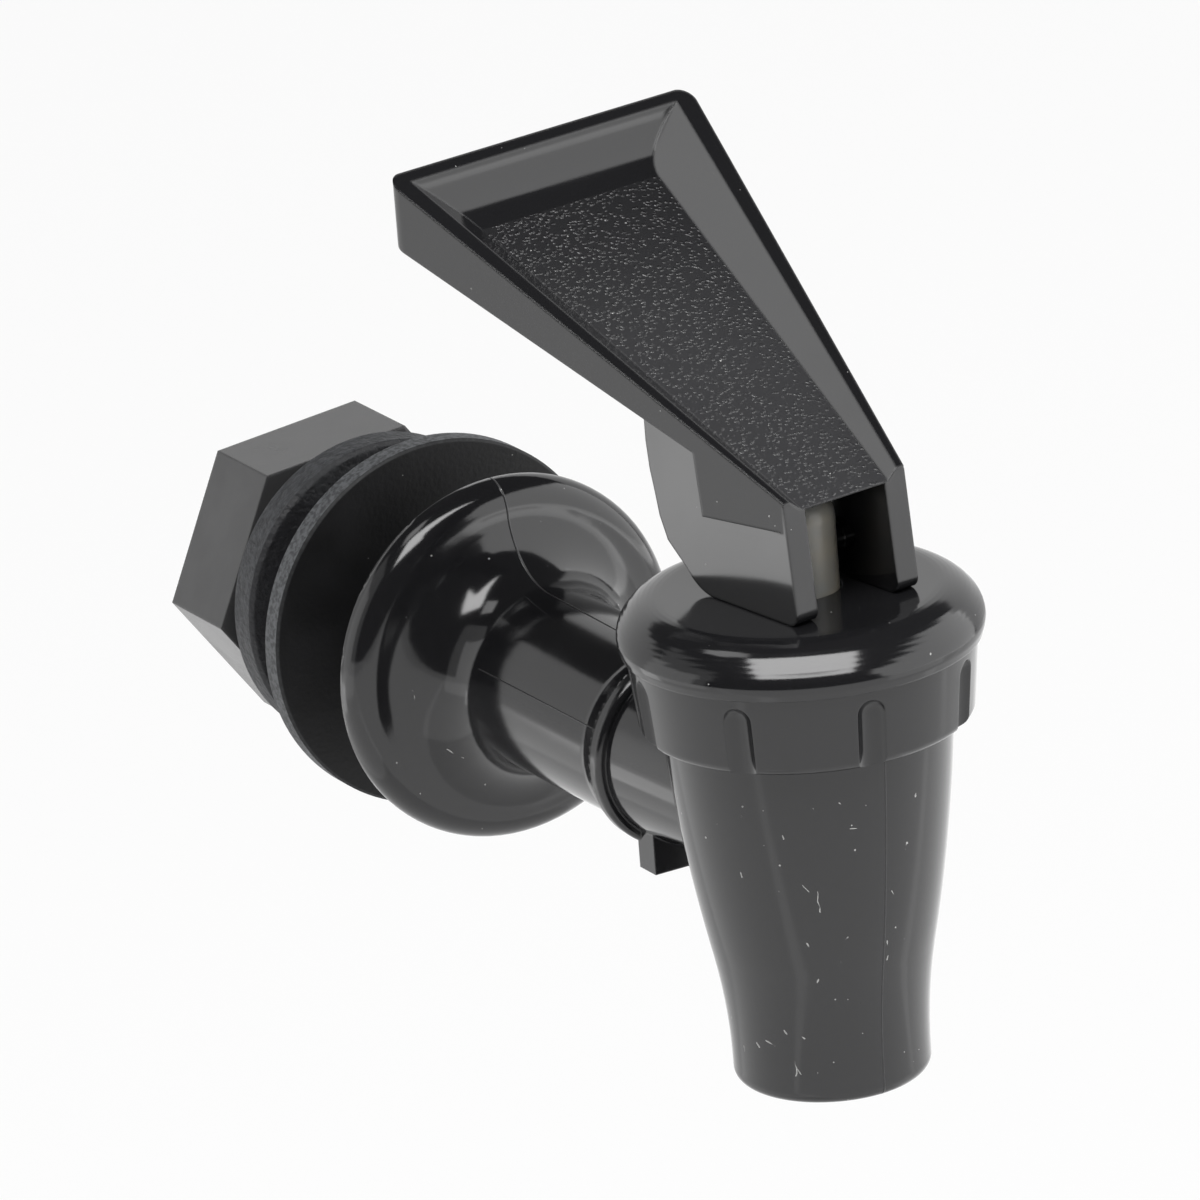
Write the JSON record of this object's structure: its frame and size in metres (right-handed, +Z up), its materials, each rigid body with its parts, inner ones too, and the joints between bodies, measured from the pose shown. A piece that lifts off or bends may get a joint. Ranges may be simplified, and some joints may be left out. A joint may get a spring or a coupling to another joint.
{
  "type": "water spigot",
  "caption": "push-lever water filter spigot with a tapered spout, swivelling paddle lever, fluted bonnet, flanged threaded shank, washers and hex lock nut",
  "frame": {"origin": "middle of the flange's back face, on the shank's axis", "axes": "+Y runs back along the shank into the tank, the spout is at -Y, +Z is up along the stem, +X is to the right seen from the front"},
  "size_m": [0.0401, 0.1187, 0.0849],
  "materials": {
    "black_gloss": "gloss",
    "black_satin": "satin",
    "black_rubber": "matte",
    "clear_silicone": "satin",
    "grey_plastic": "satin"
  },
  "bodies": {
    "spout": {"spout_body": "black_gloss", "shank": "black_gloss", "joint_seal": "black_rubber", "outer_washer": "black_rubber", "bonnet": "black_gloss"},
    "nut_washer": {"inner_washer": "black_rubber"},
    "nut": {"lock_nut": "black_satin"},
    "valve_cup": {"seat_cup": "clear_silicone"},
    "valve_stem": {"stem": "grey_plastic"},
    "lever": {"lever": "black_gloss"}
  },
  "joints": [
    {"name": "stem_lift", "type": "slide", "parent": "spout", "child": "valve_cup", "axis": [0, 0, 1], "range_m": [0, 0.0025], "deforming": ["seat_cup"]},
    {"name": "lever_swivel", "type": "hinge", "parent": "valve_cup", "child": "valve_stem", "pos_m": [0, -0.0584, 0], "axis": [0, 0, 1], "continuous": true},
    {"name": "lever_tilt", "type": "hinge", "parent": "valve_stem", "child": "lever", "pos_m": [0, -0.0584, 0.02668], "axis": [-0.9925, -0.1219, 0], "range_deg": [0, 40], "stiffness_Nm_per_rad": 0.022, "springref_deg": -32.66},
    {"name": "nut_travel", "type": "slide", "parent": "spout", "child": "nut_washer", "axis": [0, 1, 0], "range_m": [-0.00695, 0.0035]},
    {"name": "nut_turn", "type": "hinge", "parent": "nut_washer", "child": "nut", "pos_m": [0, 0.03, 0], "axis": [0, 1, 0], "range_deg": [-1080, 540]}
  ],
  "couplings": [
    {"joint": "stem_lift", "follows": "lever_tilt", "m_per_rad": 0.0035},
    {"joint": "nut_travel", "follows": "nut_turn", "m_per_rad": 0.00036765}
  ]
}
